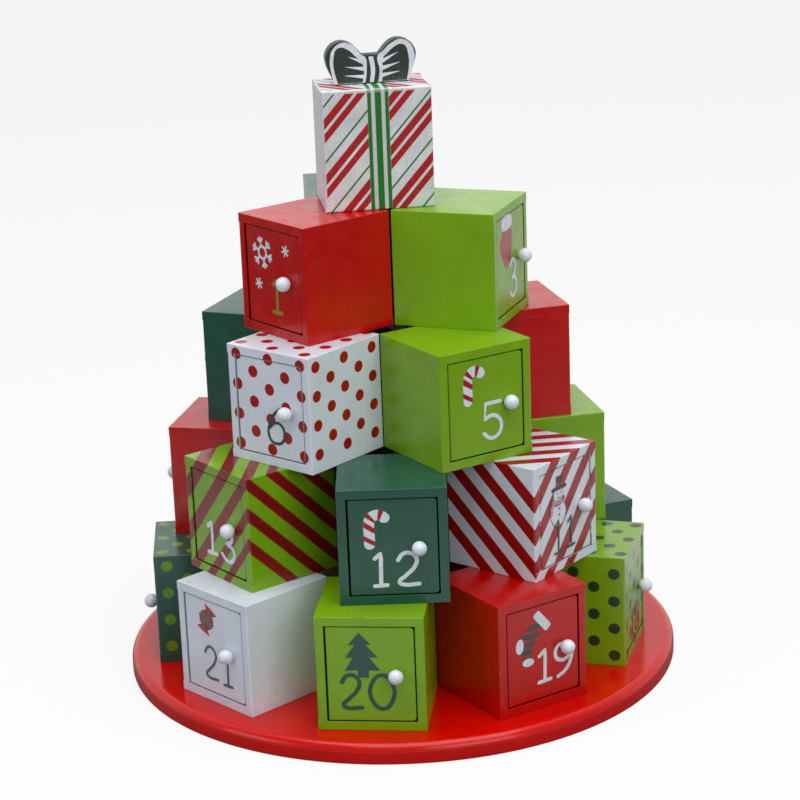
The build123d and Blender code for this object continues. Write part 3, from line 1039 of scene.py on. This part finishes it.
doorPrints = {  # ornaments, then the number's cells, ink, pen width and layer
    1: (at(-8.8, 45, snowflake(8.2)) + at(11.8, 49, littleStar()) + at(-13.3, 27.3, littleStar()),
        ((-1, 13.6, 7.4, 17.8),), "gold"),
    2: (at(-7, 44, fivePointStar()), oneDigit, "white"),
    3: (at(-5.6, 47.4, mitten()), ((-3, 12, 11.5, 20),), "white"),
    4: (at(-7, 43, bauble()), oneDigit, "white"),
    5: (at(-11.4, 36.2, candyCane(18.8)), ((-2.3, 13.4, 11.8, 19.4),), "white"),
    6: ([], ((-2.3, 13.2, 12.4, 20),), "green", 1.6),
    7: (at(-7, 43, bell()), oneDigit, "white"),
    8: (at(-7, 43, bauble("green")), oneDigit, "green"),
    9: (at(-6, 44, pineTree()), oneDigit, "green"),
    10: (at(-7, 44, snowflake()), twoDigits, "white"),
    11: (at(-6.8, 37, snowman()), ((-10.8, 10.6, 7, 18.4), (1.4, 11, 6.3, 17.2)), "green", 1.4, 6),
    12: (at(-12.3, 33.8, candyCane(19.2)), ((-10.4, 10.5, 6.6, 18.2), (2, 10.9, 11, 17.6)), "white"),
    13: ([], ((-11, 13, 8, 18), (2, 12.4, 12, 18.4)), "white", 2.4),
    14: (at(-7, 44, snowflake()) + at(10, 50, littleStar()), twoDigits, "white"),
    15: (at(-7, 44, fivePointStar("white")), twoDigits, "white"),
    16: (at(-7, 44, candle()), twoDigits, "white"),
    17: (at(-12, 34.5, candyCane(19.5)), twoDigits, "white"),
    18: ([], ((-9, 8.4, 7, 16), (2.5, 8.4, 10, 16)), "red"),
    19: (at(-9.2, 37.9, stocking()), ((-3.2, 14.6, 7.8, 18), (7.6, 14.8, 12, 18.2)), "white"),
    20: (at(-5, 42.4, pineTree()), ((-15.6, 12.8, 10.4, 18.6), (-0.6, 12.4, 12.8, 19.2)), "green"),
    21: (at(-5.5, 47.2, wrappedSweet()), ((-8.4, 13.6, 10, 18.2), (6.6, 12.6, 7, 18.4)), "grey", 1.6),
    22: (at(-7, 43, bell("white")), twoDigits, "white"),
    23: (at(-7, 44, snowflake()), twoDigits, "white", 2.4),
    24: (at(-7, 45, heart()), twoDigits, "green"),
}


# Bow: a flat cut-out with a printed front
bow = dict(  # sizes of the solid
    thickness=7.5, twist=10.0, foot=38.8, width=49.0, height=23.3, lobe=9.0, lobeTurn=130, knot=(8.8, 15.5),
    edge=0.55, arcSteps=6, rayHalf=1.15,
)


def bowPlace():
    low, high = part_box("bow")
    middle = (low + high) / 2
    turn = Matrix.Rotation(math.radians(bow["twist"]), 4, "Z")
    return Matrix.Translation((middle.x, middle.y, low.z)) @ turn @ Matrix.Scale(mm, 4)


def bowShape():
    centre = (bow["width"] / 2 - bow["lobe"], bow["height"] - bow["lobe"])
    turns = [bow["lobeTurn"] * i / bow["arcSteps"] for i in range(bow["arcSteps"] + 1)]
    half = [(bow["foot"] / 2, 0)] + [around(bow["lobe"], a, *centre) for a in turns]
    half.append((bow["knot"][0] / 2, bow["knot"][1]))
    outline = half + [(-x, z) for x, z in reversed(half)]
    last, middle = len(outline) - 1, len(half) - 1
    curve = drawnCurve(outline, True, True, (0, middle, middle + 1, last))
    curve.dimensions, curve.fill_mode = "2D", "BOTH"
    curve.bevel_depth, curve.bevel_resolution, curve.offset = bow["edge"], 3, -bow["edge"]
    curve.extrude = bow["thickness"] / 2 - bow["edge"]
    bm = curveMesh(curve)
    bmesh.ops.transform(bm, matrix=Matrix.Rotation(math.pi / 2, 4, "X"), verts=bm.verts)
    return bm


def bowPrint():
    whiteParts = (
        ((-20.6, 0.6), (-22, 8), (-22.3, 14), (-20.4, 19.6), (-15, 22.7), (-9.8, 21), (-4.6, 15.2),
         (-3.4, 14.6), (-2.6, 7), (-3.6, 0.6)),
        ((3.4, 0.6), (4.4, 7), (3.6, 14.6), (6, 16.6), (11.6, 21.2), (17, 22.7), (21.8, 19.8), (23.6, 15),
         (23.4, 10), (21.6, 4), (20.2, 0.6)),
        ((-1.2, 0.6), (-0.4, 7), (-1.4, 14.4), (1.2, 14.4), (2, 7), (1, 0.6)),
    )
    darkParts = (
        ((-18.4, 0.8), (-20.2, 8), (-20.2, 15), (-18.6, 19.3), (-16, 20.2), (-12, 18.4), (-8, 14.6),
         (-5.6, 12.4), (-4.4, 9), (-4.2, 5), (-5, 0.8)),
        ((19, 0.8), (20.4, 8), (20.2, 15), (18.8, 19), (16.4, 20.2), (13, 19), (9, 15.8), (6, 12.4),
         (6.2, 9), (5.8, 5), (5.6, 0.8)),
    )
    rays = (((-4.6, 11.8), (-12.5, 15)), ((-3.8, 8), (-14.5, 9.7)), ((-3.6, 3.8), (-15, 5)),
            ((5.4, 11.4), (15, 16.2)), ((5.8, 7.8), (16, 10.7)), ((5.4, 4), (15.8, 5.8)))
    elements = [patch(points, "white", corners=(0, len(points) - 1)) for points in whiteParts[:2]]
    elements.append(patch(whiteParts[2], "white", corners=(0, 2, 3, 5)))
    elements += [patch(points, "bowDark", 1, corners=(0, len(points) - 1)) for points in darkParts]
    for start, tip in rays:
        base, along = Vector(start), Vector(tip) - Vector(start)
        aside = Vector((-along.y, along.x)).normalized() * bow["rayHalf"]
        elements.append(patch([base + aside, tip, base - aside], "white", 2, smooth=False))
    return printShape(elements)


bowFinish = dict(
    tones=(toned(inks["bowDark"], 0.92), toned(inks["bowDark"], 1.1)), drift=(120, 4),
    sheen=(260, 3, 0.34, 0.48), bump=(1200, 2, 0.15, 0.1), shine=0.25,
)


aimCamera()
lightStudio()
makeFloor()
print("stage: camera, light and floor")

paints = {slot: paintedWood(slot, **finish) for slot, finish in finishes.items()}
inkPaints = [plainFinish(f"ink_{name}", (toned(ink, 0.9), toned(ink, 1.06)), **inkFinish)
             for name, ink in inks.items()]
knobWhite = plainFinish("knobWhiteGloss", **knobFinish)
boardsShape, panelShape, ballShape = boxBoards(), doorPanel(), knobShape()
for count in numbers:
    boxNode, doorNode = f"box_{count:02d}", f"door_{count:02d}"
    slot, place = slotOf[boxNode], boxPlace(count)
    fit, finish = printFit.get(slot, {}), [paints[slot]]
    boards = markFaces(boardsShape.copy(), **fit)
    finishPiece(boards, f"{boxNode}_boards", "tower", place, finish, boxNode)
    panel = markFaces(panelShape.copy(), **fit, panel=panelFit.get(slot, (1.0, 1.0)))
    finishPiece(panel, f"{doorNode}_panel", doorNode, place, finish, doorNode)
    finishPiece(ballShape.copy(), f"{doorNode}_knob", doorNode, place, [knobWhite], doorNode)
    onDoor = place @ Matrix.Translation((0, door["recess"], 0))
    ornaments, *lettering = doorPrints[count]
    drawing = printShape(ornaments + numeral(str(count), *lettering))
    finishPiece(drawing, f"{doorNode}_print", doorNode, onDoor, inkPaints, None)
print("stage: boxes, doors, knobs and prints")

asPlaced = Matrix.Identity(4)
bradSteel = plainFinish("bradSteel", **bradFinish)
finishPiece(bradPins(), "hinge_brad_pins", "tower", asPlaced, [bradSteel], "hinge_brads")
basePaint = paintedWood("base_red", "baseRed", gloss=0.17, shine=0.35)
finishPiece(baseShape(), "base_disc", "tower", Matrix.Scale(mm, 4), [basePaint], "base")
giftWhite = giftPaint()
for node, shape in giftBoards().items():
    finishPiece(markGift(shape), f"{node}_board", "tower", giftPlace(), [giftWhite], node)
bowGreen = plainFinish("bowDarkGreen", **bowFinish)
finishPiece(bowShape(), "bow_cutout", "tower", bowPlace(), [bowGreen], "bow")
onBow = bowPlace() @ Matrix.Translation((0, -bow["thickness"] / 2, 0))
finishPiece(bowPrint(), "bow_print", "tower", onBow, inkPaints, None)
print("stage: brads, base, gift box and bow")
